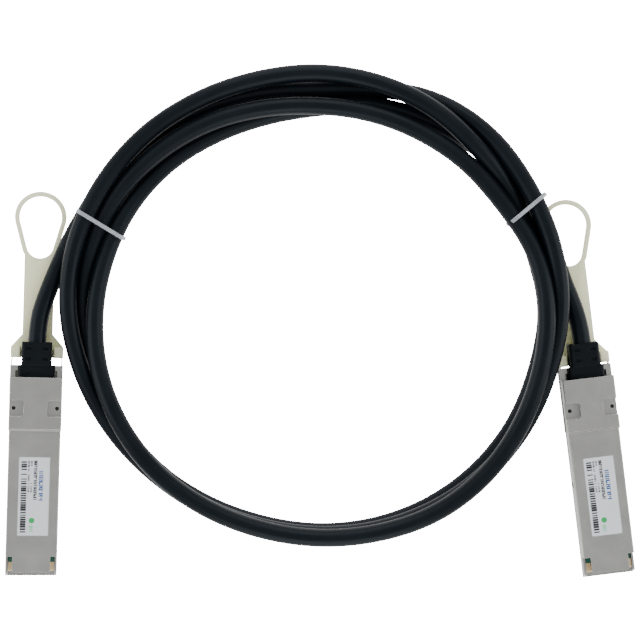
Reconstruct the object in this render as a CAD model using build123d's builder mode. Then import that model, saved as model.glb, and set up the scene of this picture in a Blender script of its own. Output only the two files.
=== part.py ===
from build123d import *

import math
import os
from dataclasses import dataclass

os.makedirs("parts", exist_ok=True)

# Direct attach copper cable: two pluggable connectors on one round cable that is wound into a ring.
# Millimetres. The set lies on the plane z = 0, seen from above as in the photo, noses towards -Y.
# Inside a connector, x is its width, y runs from its nose to its cable and z goes up from its
# underside. y = 0 is the step where the connector stops against its cage.

# Connector body
plug_width = 18.35
rear_width = 18.7
plug_height = 8.5
step_height = 1.3
split_height = 5.6
front_length = 53.0
cover_rear = 19.1
base_rear = 23.2
floor_thickness = 1.2
roof_thickness = 1.2
body_round = 0.5
step_chamfer = 0.6

# Hollow inside the body: wide at the nose for the card, narrow behind it
rear_wall_thickness = 1.8
side_wall = 1.8
card_side_gap = 0.14
wide_hollow_end = 31.0

# Nose of the cover
cover_nose = 45.0
tongue_length = 5.6
tongue_width = 13.4
tongue_thickness = 1.2
nose_slant = 1.6

# Circuit card and its gold pads
card_width = 16.42
card_thickness = 1.0
card_bottom = 3.75
card_front = 50.8
card_rear = 16.0
card_tail_gap = 0.25
card_bevel = 0.3
pad_count = 19
pad_pitch = 0.8
pad_width = 0.56
pad_length = 2.6
pad_inset = 0.3
pad_thickness = 0.05
ledge_width = 0.9
clamp_rib_length = 5.0
ledge_setback = 2.5

# Parts soldered on the card
chip_length = 4.4
chip_width = 3.0
chip_height = 0.9
capacitor_length = 1.0
capacitor_width = 0.5
capacitor_height = 0.45
capacitor_pitch = 1.6
capacitor_count = 8
capacitor_setback = 5.4

# Block moulded over the solder joints
potting_side_gap = 0.1
potting_length = 10.0
potting_cover = 1.7

# Conductor pairs and the crimped end of the cable
pair_radius = 0.6
pair_pitch = 3.1
pair_ring_radius = 1.9
pair_straight = 2.0
pair_bend_radius = 4.0
pairs_per_face = 4
cable_diameter = 6.4
cable_axis_height = 5.4
ferrule_bore = 5.2
ferrule_thickness = 0.45
ferrule_length = 5.5

# Cable boot
boot_width = 10.7
boot_height = 7.4
boot_flange_width = 12.8
boot_flange_height = 6.6
boot_collar_length = 3.0
boot_flange_length = 4.1
boot_end = 31.7
boot_round = 1.2
boot_gap = 0.15
window_length = 2.2
window_width = 1.3
window_pitch_x = 5.9
window_pitch_y = 3.7
window_depth = 0.6

# Side channels, latch pockets and the release slider that runs in them
channel_depth = 0.55
channel_bottom = 2.2
channel_height = 3.0
arm_thickness = 0.4
arm_gap = 0.06
arm_height_gap = 0.2
latch_pocket_front = 19.9
latch_pocket_length = 5.65
latch_pocket_depth = 1.15
ramp_length = 1.3
ramp_depth = 0.4
arm_end_gap = 0.8
arm_joggle = 0.85
joggle_length = 1.8
bridge_width = 2.0
bridge_inset = 0.4

# Return springs, one beside each arm, with their length when the tab isn't pulled
spring_radius = 0.9
spring_wire = 0.3
spring_length = 8.7
spring_turns = 5
spring_gap = 0.12
spring_wall = 0.7
spring_pocket_rear = 4.5
lug_thickness = 0.4

# Screws from below, into tapped holes at the floor of the cover's two pockets
screw_spacing = 15.3
screw_place = 8.0
screw_diameter = 1.4
screw_head_diameter = 2.6
screw_clearance = 0.05
screw_tip_depth = 0.3
boss_radius = 1.6
pocket_length = 5.8
pocket_inner = 4.1
pocket_depth = 2.4
pocket_floor = 1.0
pocket_wall = 0.7
pocket_round = 1.2

# Label
label_width = 10.8
label_length = 28.0
label_start = 9.5
label_offset = 0.25
label_thickness = 0.12
label_recess = 0.08
label_gap = 0.06
label_round = 0.5

# Pull tab, where it stands when it isn't pulled
tab_start = 23.9
tab_base_length = 3.9
tab_flare_length = 4.6
tab_thickness = 1.3
tab_lift = 0.1
tab_neck_width = 10.8
tab_cheek_inner = 5.9
tab_loop_centre = 74.8
tab_loop_radius = 9.25
tab_band = 1.75
tab_foot_centre = 64.7
tab_foot_radius = 4.8
tab_cheek_round = 0.6

# How far the tab and its slider travel, the room that other pieces leave them, and how far the left
# tab is pulled as it lies
release_travel = 2.5
travel_gap = 0.4
left_tab_pull = 2.1

# Ring of cable: two strands high at its ties and three strands high at its near side, with the
# distance from its centre to its outer and inner edge, clockwise from the top
ring_centre = (-0.7, 28.3)
ring_height = 14.0
stack_height = 19.3
stack_slope_length = 60.0
ring_round = 3.0
ring_angle_step = 30
ring_outer = [87.9, 88.1, 90.4, 90.2, 88.0, 87.6, 85.2, 85.8, 89.2, 93.1, 92.6, 89.5]
ring_inner = [68.1, 70.6, 74.2, 77.6, 78.8, 78.4, 77.3, 77.8, 79.6, 77.1, 73.1, 69.5]

# Ties: angle clockwise from the top and reach from the ring's centre, at the inner and outer end
tie_left = ((-70.4, 73.2), (-67.9, 93.9))
tie_right = ((66.4, 74.2), (63.2, 91.6))
tie_width = 1.9
tie_thickness = 0.6
tie_gap = 0.05
tie_round = 3.2

# Where each connector lies: its step, its heading and its roll about its long axis
heading_a = -1.6
roll_a = 10.0
place_a = (-103.5, -15.6, rear_width / 2 * math.sin(math.radians(roll_a)))
heading_b = 6.9
place_b = (98.3, -15.8, 0.0)

# Cable between the ring and each connector: first point inside the ring, last run out of the boot
lead_a_points = [
    (-82.6, 63.5, 5.6),
    (-89.2, 53.9, 5.7),
    (-94.8, 41.5, 6.1),
    (-99.0, 31.3, 6.6),
    (-100.8, 25.5, 6.8),
]
lead_b_points = [
    (83.4, 46.2, 5.2),
    (86.1, 40.0, 5.1),
    (88.9, 34.1, 5.1),
    (91.8, 28.3, 5.2),
]
lead_straights = (4.5, 6.5)

# Sizes that follow from the ones above
SIDES = (-1, 1)
rear_height = plug_height + step_height
tail_hollow_width = plug_width - 2 * side_wall
nose_hollow_width = card_width + 2 * card_side_gap
card_top = card_bottom + card_thickness
card_tail_width = tail_hollow_width - 2 * card_tail_gap
channel_wall = plug_width / 2 - channel_depth
channel_top = channel_bottom + channel_height
arm_middle = channel_wall + arm_gap + arm_thickness / 2
arm_bottom = channel_bottom + arm_height_gap
arm_height = channel_height - 2 * arm_height_gap
arm_front = latch_pocket_front - arm_end_gap
spring_axis_height = channel_bottom + channel_height / 2
spring_axis_side = channel_wall - spring_gap - spring_radius
spring_pocket_inner = spring_axis_side - spring_radius - spring_gap
spring_pocket_length = spring_length + lug_thickness + 2 * spring_gap
lug_rear = spring_pocket_rear - spring_gap - spring_length
screw_side = screw_spacing / 2
screw_head_depth = (screw_head_diameter - screw_diameter) / 2
pocket_bottom = rear_height - pocket_depth
collar_front = cover_rear - rear_wall_thickness - boot_gap - boot_collar_length
waist_front = collar_front + boot_collar_length
flange_front = cover_rear + boot_gap
flange_rear = flange_front + boot_flange_length
post_front = base_rear - rear_wall_thickness
rear_wall_front = cover_rear - rear_wall_thickness
roof_step = roof_thickness
flange_hollow_width = boot_flange_width + 2 * boot_gap
boot_flange_middle = cable_axis_height - (boot_height - boot_flange_height) / 2
waist_side = boot_width / 2 + boot_gap
waist_seat = boot_flange_middle - boot_flange_height / 2 - boot_gap
waist_top = boot_flange_middle + boot_flange_height / 2 + boot_gap
latch_wall = plug_width / 2 - latch_pocket_depth
pocket_sketch_width = 2 * (rear_width / 2 - pocket_inner)
pocket_middle = rear_width / 2
potting_rear = potting_length / 2 - card_rear
potting_width = tail_hollow_width - 2 * ledge_width - 2 * potting_side_gap
ferrule_front = collar_front - ferrule_length
base_end = tab_start + tab_base_length
tab_flare_end = base_end + tab_flare_length
tab_room = rear_width / 2 + travel_gap
cheek_top = channel_top
leg_side = arm_middle - arm_joggle + arm_thickness / 2
bridge_bottom = tab_lift + tab_thickness / 2 - arm_thickness / 2
bridge_start = tab_start + bridge_inset
tab_top = tab_lift + tab_thickness
tab_end = tab_loop_centre + tab_loop_radius
coil_bottom = tie_thickness + tie_gap
coil_top = ring_height - coil_bottom


@dataclass(frozen=True)
class Plug:
    """One connector's name ending, the plane of its underside and how far its tab is pulled."""

    side: str
    plane: Plane
    pull: float


def plug_plane(place, heading, roll):
    """Plane of a connector's underside: its x is the width and its y points to the cable."""
    turn = math.radians(heading)
    tilt = math.radians(roll)
    long_axis = Vector(-math.sin(turn), math.cos(turn), 0)
    level_axis = Vector(math.cos(turn), math.sin(turn), 0)
    upward = level_axis * math.sin(tilt) + Vector(0, 0, 1) * math.cos(tilt)
    return Plane(origin=place, x_dir=long_axis.cross(upward), z_dir=upward)


def level(plug, height):
    """Plane parallel to the underside, at a height above it."""
    return plug.plane.offset(height)


def across(plug, place):
    """Plane square to the long axis: sketch x is the width, sketch y the height, it faces the nose."""
    middle = plug.plane.from_local_coords((0, place, 0))
    return Plane(origin=middle, x_dir=plug.plane.x_dir, z_dir=-plug.plane.y_dir)


def beside(plug, offset):
    """Plane along the side: sketch x runs to the cable, sketch y goes up, it faces +x."""
    middle = plug.plane.from_local_coords((offset, 0, 0))
    return Plane(origin=middle, x_dir=plug.plane.y_dir, z_dir=plug.plane.x_dir)


def block(low_x, high_x, low_y, high_y):
    """Rectangle of a sketch between two corners."""
    with Locations(((low_x + high_x) / 2, (low_y + high_y) / 2)):
        Rectangle(high_x - low_x, high_y - low_y)


def both_blocks(inner, outer, low, high):
    """The same rectangle on both sides of a sketch's middle."""
    block(inner, outer, low, high)
    block(-outer, -inner, low, high)


def screw_seats(plug):
    """Planes of the two screw seats in the underside, facing down."""
    places = [(side * screw_side, screw_place, 0) for side in SIDES]
    return [
        Plane(origin=plug.plane.from_local_coords(place), z_dir=-plug.plane.z_dir)
        for place in places
    ]


def finish(piece, name, plug):
    """Label a connector's piece and write it as a node of its own."""
    piece.part.label = f"{name}_{plug.side}"
    export_step(piece.part, f"parts/{piece.part.label}.step")
    return piece.part


def make_bottom_shell(plug):
    """Cast channel: floor, two walls with the slider's channels, and a full-width front lip."""
    with BuildPart() as bottom_shell:
        # Outside, wide behind the step and narrow in front of it
        with BuildSketch(across(plug, base_rear)) as rear_outline:
            block(-rear_width / 2, rear_width / 2, 0, split_height)
            fillet(rear_outline.vertices().group_by(Axis.Y)[0], body_round)
        extrude(amount=base_rear)
        with BuildSketch(across(plug, 0)) as front_outline:
            block(-plug_width / 2, plug_width / 2, 0, split_height)
            fillet(front_outline.vertices().group_by(Axis.Y)[0], body_round)
        extrude(amount=front_length)

        # Hollow, open at the nose above the lip and at the rear behind the flange of the boot
        with BuildSketch(level(plug, floor_thickness)):
            block(-tail_hollow_width / 2, tail_hollow_width / 2, -wide_hollow_end, post_front)
            block(-nose_hollow_width / 2, nose_hollow_width / 2, -front_length, -wide_hollow_end)
            block(-flange_hollow_width / 2, flange_hollow_width / 2, post_front, base_rear)
        extrude(amount=split_height, mode=Mode.SUBTRACT)

        # Walls slant down to the lip at the nose
        with BuildSketch(beside(plug, -plug_width / 2)):
            Polygon(
                (-front_length, floor_thickness),
                (-front_length + nose_slant, split_height),
                (-front_length, split_height),
                align=None,
            )
        extrude(amount=plug_width, mode=Mode.SUBTRACT)

        # Saddle that carries the waist of the boot
        with BuildSketch(across(plug, cover_rear)):
            block(-tail_hollow_width / 2, tail_hollow_width / 2, floor_thickness, waist_seat)
            both_blocks(waist_side, tail_hollow_width / 2, floor_thickness, split_height)
        extrude(amount=rear_wall_thickness)

        # Ledges under the card, behind the mating space and along the tail
        with BuildSketch(level(plug, floor_thickness)):
            both_blocks(
                nose_hollow_width / 2 - ledge_width,
                nose_hollow_width / 2,
                -cover_nose + ledge_setback,
                -wide_hollow_end,
            )
            both_blocks(
                tail_hollow_width / 2 - ledge_width,
                tail_hollow_width / 2,
                -wide_hollow_end,
                -card_rear - ledge_setback,
            )
        extrude(amount=card_bottom - floor_thickness)

        # Walls round the spring pockets and bosses round the screws
        with BuildSketch(level(plug, floor_thickness)):
            both_blocks(
                spring_pocket_inner - spring_wall,
                tail_hollow_width / 2,
                spring_pocket_rear - spring_pocket_length - spring_wall,
                spring_pocket_rear + spring_wall,
            )
            with Locations((-screw_side, screw_place), (screw_side, screw_place)):
                Circle(boss_radius)
        extrude(amount=split_height - floor_thickness)

        # Channels for the slider's arms, with a deeper pocket for the cage's latch
        with BuildSketch(across(plug, base_rear)):
            both_blocks(channel_wall, rear_width, channel_bottom, channel_top)
        extrude(amount=base_rear + latch_pocket_front, mode=Mode.SUBTRACT)
        with BuildSketch(across(plug, latch_pocket_length - latch_pocket_front)):
            both_blocks(latch_wall, rear_width, channel_bottom, channel_top)
        extrude(amount=latch_pocket_length, mode=Mode.SUBTRACT)

        # Pockets for the springs, open to the channels
        with BuildSketch(across(plug, spring_pocket_rear)):
            both_blocks(
                spring_pocket_inner,
                rear_width,
                spring_axis_height - spring_radius - spring_gap,
                spring_axis_height + spring_radius + spring_gap,
            )
        extrude(amount=spring_pocket_length, mode=Mode.SUBTRACT)

        # Countersunk holes from below
        with Locations(*screw_seats(plug)):
            CounterSinkHole(
                screw_diameter / 2 + screw_clearance,
                screw_head_diameter / 2 + screw_clearance,
                split_height,
            )
    return finish(bottom_shell, "bottom_shell", plug)


def make_top_shell(plug):
    """Cast cover: raised rear with two pockets, recess for the label, and a tongue at the nose."""
    with BuildPart() as top_shell:
        # Outside
        with BuildSketch(across(plug, cover_rear)) as rear_outline:
            block(-rear_width / 2, rear_width / 2, split_height, rear_height)
            fillet(rear_outline.vertices().group_by(Axis.Y)[-1], body_round)
        extrude(amount=cover_rear)
        with BuildSketch(across(plug, 0)) as front_outline:
            block(-plug_width / 2, plug_width / 2, split_height, plug_height)
            fillet(front_outline.vertices().group_by(Axis.Y)[-1], body_round)
        extrude(amount=cover_nose)
        with BuildSketch(across(plug, -cover_nose)):
            block(-tongue_width / 2, tongue_width / 2, plug_height - tongue_thickness, plug_height)
        extrude(amount=tongue_length)

        # Slanted step in front of the raised rear
        with BuildSketch(beside(plug, -rear_width / 2)):
            Polygon(
                (0, plug_height),
                (step_chamfer, rear_height),
                (0, rear_height),
                align=None,
            )
        extrude(amount=rear_width, mode=Mode.SUBTRACT)

        # Hollow: wide over the card, narrow behind it, higher under the raised rear
        with BuildSketch(level(plug, split_height)):
            block(-tail_hollow_width / 2, tail_hollow_width / 2, -wide_hollow_end, roof_step)
            block(-nose_hollow_width / 2, nose_hollow_width / 2, -cover_nose, -wide_hollow_end)
        extrude(amount=plug_height - roof_thickness - split_height, mode=Mode.SUBTRACT)
        with BuildSketch(level(plug, split_height)):
            block(-tail_hollow_width / 2, tail_hollow_width / 2, roof_step, rear_wall_front)
        extrude(amount=rear_height - roof_thickness - split_height, mode=Mode.SUBTRACT)

        # Opening in the rear wall for the waist of the boot
        with BuildSketch(across(plug, cover_rear)):
            block(-waist_side, waist_side, split_height, waist_top)
        extrude(amount=rear_wall_thickness, mode=Mode.SUBTRACT)

        # Floors under the pockets, and bosses that take the screws
        with BuildSketch(level(plug, pocket_bottom - pocket_floor)):
            both_blocks(
                pocket_inner - pocket_wall,
                tail_hollow_width / 2,
                screw_place - pocket_length / 2 - pocket_wall,
                screw_place + pocket_length / 2 + pocket_wall,
            )
        extrude(amount=rear_height - roof_thickness - pocket_bottom + pocket_floor)
        with BuildSketch(level(plug, split_height)):
            with Locations((-screw_side, screw_place), (screw_side, screw_place)):
                Circle(boss_radius)
        extrude(amount=pocket_bottom - split_height)
        with BuildSketch(level(plug, pocket_bottom)):
            for side in SIDES:
                with Locations((side * pocket_middle, screw_place)):
                    RectangleRounded(pocket_sketch_width, pocket_length, pocket_round)
        extrude(amount=rear_height, mode=Mode.SUBTRACT)
        with BuildSketch(level(plug, split_height)):
            with Locations((-screw_side, screw_place), (screw_side, screw_place)):
                Circle(screw_diameter / 2)
        extrude(amount=pocket_depth + plug_height, mode=Mode.SUBTRACT)

        # Ribs that hold the card down
        with BuildSketch(level(plug, card_top)):
            both_blocks(
                tail_hollow_width / 2 - ledge_width,
                tail_hollow_width / 2 - card_tail_gap,
                -wide_hollow_end + ledge_setback,
                -wide_hollow_end + ledge_setback + clamp_rib_length,
            )
        extrude(amount=plug_height - roof_thickness - card_top)

        # Recess for the label
        with BuildSketch(level(plug, plug_height - label_recess)):
            with Locations((label_offset, -label_start - label_length / 2)):
                Rectangle(label_width + 2 * label_gap, label_length + 2 * label_gap)
        extrude(amount=label_recess, mode=Mode.SUBTRACT)
    return finish(top_shell, "top_shell", plug)


def make_paddle_card(plug):
    """Circuit card, wide at the nose and narrow between the walls, bevelled where it mates."""
    with BuildPart() as paddle_card:
        with BuildSketch(level(plug, card_bottom)):
            block(-card_width / 2, card_width / 2, -card_front, -wide_hollow_end - card_side_gap)
            block(
                -card_tail_width / 2,
                card_tail_width / 2,
                -wide_hollow_end - card_side_gap,
                -card_rear,
            )
        extrude(amount=card_thickness)
        nose = paddle_card.faces().sort_by(Axis(plug.plane.origin, plug.plane.y_dir))[0]
        long_edges = nose.edges().sort_by(SortBy.LENGTH)[-2:]
        chamfer(long_edges, card_bevel)
    return finish(paddle_card, "paddle_card", plug)


def make_contact_pads(plug):
    """Rows of gold pads on both faces of the card's front edge."""
    with BuildPart() as contact_pads:
        for height in (card_bottom - pad_thickness, card_top):
            with BuildSketch(level(plug, height)):
                with Locations((0, -card_front + card_bevel + pad_inset + pad_length / 2)):
                    with GridLocations(pad_pitch, 0, pad_count, 1):
                        Rectangle(pad_width, pad_length)
            extrude(amount=pad_thickness)
    return finish(contact_pads, "contact_pads", plug)


def make_card_parts(plug):
    """Memory chip and a row of small capacitors on the upper face of the card."""
    with BuildPart() as card_parts:
        with BuildSketch(level(plug, card_top)):
            with Locations((0, -wide_hollow_end + chip_width)):
                Rectangle(chip_length, chip_width)
        extrude(amount=chip_height)
        with BuildSketch(level(plug, card_top)):
            with Locations((0, -cover_nose + capacitor_setback)):
                with GridLocations(capacitor_pitch, 0, capacitor_count, 1):
                    Rectangle(capacitor_width, capacitor_length)
        extrude(amount=capacitor_height)
    return finish(card_parts, "card_parts", plug)


def pair_path(plug, row, number):
    """Route of one conductor pair from the card's tail to its place in the cable."""
    side = (number - (pairs_per_face - 1) / 2) * pair_pitch
    if row > 0:
        height = card_top + pair_radius
    else:
        height = card_bottom - pair_radius
    angle = math.pi * (1 - (number + 0.5) / pairs_per_face) * row
    end_side = pair_ring_radius * math.cos(angle)
    end_height = cable_axis_height + pair_ring_radius * math.sin(angle)
    corners = [
        (side, -card_rear - pair_straight, height),
        (side, potting_rear + pair_straight, height),
        (end_side, ferrule_front - pair_straight, end_height),
        (end_side, collar_front, end_height),
    ]
    return [plug.plane.from_local_coords(corner) for corner in corners]


def make_twinax_pairs(plug):
    """Conductor pairs, a row above and a row below the card, gathered into the ferrule."""
    with BuildPart() as twinax_pairs:
        for row in (1, -1):
            for number in range(pairs_per_face):
                corners = pair_path(plug, row, number)
                with BuildLine() as route:
                    FilletPolyline(*corners, radius=pair_bend_radius)
                with BuildSketch(Plane(origin=corners[0], z_dir=plug.plane.y_dir)):
                    Circle(pair_radius)
                sweep(path=route.wires()[0])
    return finish(twinax_pairs, "twinax_pairs", plug)


def make_potting_block(plug, card, pairs):
    """Block moulded round the end of the card and the first stretch of the pairs."""
    with BuildPart() as potting_block:
        with BuildSketch(across(plug, potting_rear)) as outline:
            block(
                -potting_width / 2,
                potting_width / 2,
                card_bottom - potting_cover,
                card_top + potting_cover,
            )
            fillet(outline.vertices(), body_round)
        extrude(amount=potting_length)
        add(card, mode=Mode.SUBTRACT)
        add(pairs, mode=Mode.SUBTRACT)
    return finish(potting_block, "potting_block", plug)


def make_crimp_ferrule(plug):
    """Ring crimped on the braid, with a lip against the boot."""
    with BuildPart() as crimp_ferrule:
        with BuildSketch(across(plug, collar_front)):
            with Locations((0, cable_axis_height)):
                Circle(ferrule_bore / 2 + ferrule_thickness)
                Circle(ferrule_bore / 2, mode=Mode.SUBTRACT)
        extrude(amount=ferrule_length)
    return finish(crimp_ferrule, "crimp_ferrule", plug)


def make_cable_boot(plug):
    """Moulded strain relief: collar inside the body, waist in its wall, flange and ribbed block."""
    with BuildPart() as cable_boot:
        for end, length, width in (
            (waist_front, boot_collar_length, boot_flange_width),
            (flange_front, flange_front - waist_front, boot_width),
            (flange_rear, boot_flange_length, boot_flange_width),
        ):
            with BuildSketch(across(plug, end)) as outline:
                with Locations((0, boot_flange_middle)):
                    RectangleRounded(width, boot_flange_height, boot_round)
            extrude(amount=length)
        with BuildSketch(across(plug, boot_end)):
            with Locations((0, cable_axis_height)):
                RectangleRounded(boot_width, boot_height, boot_round)
        extrude(amount=boot_end - flange_rear)

        # Windows in both faces of the block
        for height, direction in (
            (cable_axis_height + boot_height / 2, -1),
            (cable_axis_height - boot_height / 2, 1),
        ):
            with BuildSketch(level(plug, height)):
                with Locations((0, (boot_end + flange_rear) / 2)):
                    with GridLocations(window_pitch_x, window_pitch_y, 2, 2):
                        SlotOverall(window_length, window_width)
            extrude(amount=direction * window_depth, mode=Mode.SUBTRACT)
    return finish(cable_boot, "cable_boot", plug)


def pulled(plug):
    """The same connector with its plane moved as far along as its tab is pulled."""
    origin = plug.plane.from_local_coords((0, plug.pull, 0))
    moved = Plane(origin=origin, x_dir=plug.plane.x_dir, z_dir=plug.plane.z_dir)
    return Plug(plug.side, moved, 0)


def arm_outline(side):
    """Plan of one arm: ramp at the latch, straight run, joggle into the tab."""
    middle = [
        (arm_middle - ramp_depth, -arm_front),
        (arm_middle, -arm_front + ramp_length),
        (arm_middle, base_rear + arm_gap),
        (arm_middle - arm_joggle, base_rear + arm_gap + joggle_length),
        (arm_middle - arm_joggle, bridge_start + bridge_width),
    ]
    inner = [(side * (x - arm_thickness / 2), y) for x, y in middle]
    outer = [(side * (x + arm_thickness / 2), y) for x, y in reversed(middle)]
    return inner + outer


def make_release_slider(plug):
    """Folded strip: two arms with latch ramps and spring lugs, joined by a bridge under the boot."""
    with BuildPart() as release_slider:
        with BuildSketch(level(plug, arm_bottom)):
            for side in SIDES:
                Polygon(*arm_outline(side), align=None)
        extrude(amount=arm_height)
        with BuildSketch(across(plug, lug_rear)):
            both_blocks(
                spring_pocket_inner + spring_gap,
                arm_middle,
                spring_axis_height - spring_radius,
                spring_axis_height + spring_radius,
            )
        extrude(amount=lug_thickness)
        with BuildSketch(across(plug, bridge_start + bridge_width)):
            both_blocks(leg_side - arm_thickness, leg_side, bridge_bottom, arm_bottom)
            block(-leg_side, leg_side, bridge_bottom, bridge_bottom + arm_thickness)
        extrude(amount=bridge_width)
    return finish(release_slider, "release_slider", plug)


def make_pull_tab(plug, slider):
    """Flexible strap with a teardrop finger loop, moulded round the ends of the slider."""
    with BuildPart() as pull_tab:
        with BuildSketch(level(plug, tab_lift)) as strap:
            with BuildSketch(Plane.XY) as teardrop:
                with BuildLine():
                    CenterArc((0, tab_loop_centre), tab_loop_radius, 0, 360)
                    CenterArc((0, tab_foot_centre), tab_foot_radius + tab_band, 0, 360)
                make_hull()
            block(-tab_neck_width / 2, tab_neck_width / 2, tab_flare_end, tab_foot_centre)
            Polygon(
                (-rear_width / 2, base_end),
                (rear_width / 2, base_end),
                (tab_neck_width / 2, tab_flare_end),
                (-tab_neck_width / 2, tab_flare_end),
                align=None,
            )
            block(-rear_width / 2, rear_width / 2, tab_start, base_end)
            with BuildSketch(Plane.XY, mode=Mode.SUBTRACT) as hole:
                with BuildLine():
                    CenterArc((0, tab_loop_centre), tab_loop_radius - tab_band, 0, 360)
                    CenterArc((0, tab_foot_centre), tab_foot_radius, 0, 360)
                make_hull()
        extrude(amount=tab_thickness)
        with BuildSketch(across(plug, base_end)) as cheeks:
            both_blocks(tab_cheek_inner, rear_width / 2, tab_lift, cheek_top)
            fillet(cheeks.vertices().group_by(Axis.Y)[-1], tab_cheek_round)
        extrude(amount=tab_base_length)
        add(slider, mode=Mode.SUBTRACT)
    return finish(pull_tab, "pull_tab", plug)


def make_return_springs(plug):
    """Two compression springs between the slider's lugs and the rear ends of their pockets."""
    coil_radius = spring_radius - spring_wire / 2
    coil_length = spring_length - plug.pull - spring_wire - 2 * spring_gap
    with BuildPart() as return_springs:
        for side in SIDES:
            start = plug.plane.from_local_coords(
                (
                    side * spring_axis_side,
                    lug_rear + plug.pull + spring_gap + spring_wire / 2,
                    spring_axis_height,
                )
            )
            with BuildLine() as turns:
                Helix(
                    coil_length / spring_turns,
                    coil_length,
                    coil_radius,
                    center=start,
                    direction=plug.plane.y_dir,
                )
            begin = turns.edges()[0] @ 0
            along = turns.edges()[0] % 0
            with BuildSketch(Plane(origin=begin, x_dir=plug.plane.y_dir, z_dir=along)):
                Rectangle(spring_wire, spring_wire)
            sweep(path=turns.edges()[0], is_frenet=True)
    return finish(return_springs, "return_springs", plug)


def make_shell_screws(plug):
    """Countersunk screws from below, their ends in the holes at the floor of the cover's pockets."""
    with BuildPart() as shell_screws:
        for seat in screw_seats(plug):
            with BuildSketch(seat):
                Circle(screw_head_diameter / 2)
            with BuildSketch(seat.offset(-screw_head_depth)):
                Circle(screw_diameter / 2)
            loft()
            with BuildSketch(seat.offset(-screw_head_depth)):
                Circle(screw_diameter / 2)
            extrude(amount=-(pocket_bottom - screw_tip_depth - screw_head_depth))
    return finish(shell_screws, "shell_screws", plug)


def make_label(plug):
    """Sticker in the recess of the cover."""
    with BuildPart() as label:
        with BuildSketch(level(plug, plug_height - label_recess)):
            with Locations((label_offset, -label_start - label_length / 2)):
                RectangleRounded(label_width, label_length, label_round)
        extrude(amount=label_thickness)
    return finish(label, "label", plug)


def ring_point(angle, reach):
    """Point of the ring at an angle clockwise from the top."""
    turn = math.radians(angle)
    return (ring_centre[0] + reach * math.sin(turn), ring_centre[1] + reach * math.cos(turn))


def make_tie(name, inner_end, outer_end):
    """Nylon band round the section of the ring."""
    inner = Vector(*ring_point(*inner_end))
    outer = Vector(*ring_point(*outer_end))
    direction = outer - inner
    centre = (inner + outer) * 0.5 + Vector(0, 0, ring_height / 2)
    sideways = direction.cross(Vector(0, 0, 1))
    with BuildPart() as tie:
        with BuildSketch(Plane(origin=centre, x_dir=direction, z_dir=sideways)):
            RectangleRounded(direction.length, ring_height, tie_round)
            RectangleRounded(
                direction.length - 2 * tie_thickness,
                ring_height - 2 * tie_thickness,
                tie_round - tie_thickness,
                mode=Mode.SUBTRACT,
            )
        extrude(amount=tie_width / 2, both=True)
    tie.part.label = name
    export_step(tie.part, f"parts/{name}.step")


def make_cable_coil(plug):
    """Closed ring of the wound cable's outer shape, clear of the tab that slides beneath it."""
    angles = [ring_angle_step * number for number in range(len(ring_outer))]
    with BuildPart() as cable_coil:
        with BuildSketch(Plane.XY.offset(coil_bottom)):
            with BuildLine():
                Spline(*[ring_point(a, r) for a, r in zip(angles, ring_outer)], periodic=True)
            make_face()
            with BuildLine():
                Spline(*[ring_point(a, r) for a, r in zip(angles, ring_inner)], periodic=True)
            make_face(mode=Mode.SUBTRACT)
        extrude(amount=stack_height - coil_bottom)

        # Lower on its far half, where the ties go round it
        middle = ring_centre[1]
        with BuildSketch(Plane.YZ):
            Polygon(
                (middle, coil_top),
                (middle - stack_slope_length, stack_height),
                (middle - stack_slope_length, 2 * stack_height),
                (middle + 2 * stack_slope_length, 2 * stack_height),
                (middle + 2 * stack_slope_length, coil_top),
                align=None,
            )
        extrude(amount=2 * stack_slope_length, both=True, mode=Mode.SUBTRACT)
        rims = cable_coil.edges().filter_by(GeomType.BSPLINE)
        fillet(rims.filter_by(lambda rim: rim.center().Z > ring_height / 2), ring_round)
        fillet(cable_coil.faces().sort_by(Axis.Z)[0].edges(), ring_round)

        # Room over the tab
        with BuildSketch(level(plug, 0)):
            block(-tab_room, tab_room, tab_start, tab_end + release_travel + travel_gap)
        extrude(amount=tab_top + travel_gap, mode=Mode.SUBTRACT)
        with BuildSketch(level(plug, 0)):
            block(-tab_room, tab_room, base_rear, base_end + release_travel + travel_gap)
        extrude(amount=cheek_top + travel_gap, mode=Mode.SUBTRACT)
    cable_coil.part.label = "cable_coil"
    export_step(cable_coil.part, "parts/cable_coil.step")


def lead_radii(points):
    """Largest arc that each corner's two runs allow."""
    radii = []
    for before, here, after in zip(points, points[1:], points[2:]):
        first = Vector(*here) - Vector(*before)
        second = Vector(*after) - Vector(*here)
        half_turn = math.radians(first.get_angle(second)) / 2
        radii.append(0.45 * min(first.length, second.length) / math.tan(half_turn))
    return radii


def make_lead(name, points):
    """Tube of cable between the ring and a connector."""
    radii = lead_radii(points)
    print(name, "bend radii", [round(radius, 1) for radius in radii])
    with BuildPart() as lead:
        with BuildLine() as route:
            FilletPolyline(*points, radius=radii)
        heading = Vector(*points[1]) - Vector(*points[0])
        with BuildSketch(Plane(origin=points[0], z_dir=heading)):
            Circle(cable_diameter / 2)
        sweep(path=route.wires()[0])
    length = route.wires()[0].length
    whole = math.pi * (cable_diameter / 2) ** 2 * length
    print(name, "length", round(length, 1), "volume share", round(lead.part.volume / whole, 4))
    lead.part.label = name
    export_step(lead.part, f"parts/{name}.step")


plugs = [
    Plug("a", plug_plane(place_a, heading_a, roll_a), left_tab_pull),
    Plug("b", plug_plane(place_b, heading_b, 0), 0),
]

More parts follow.
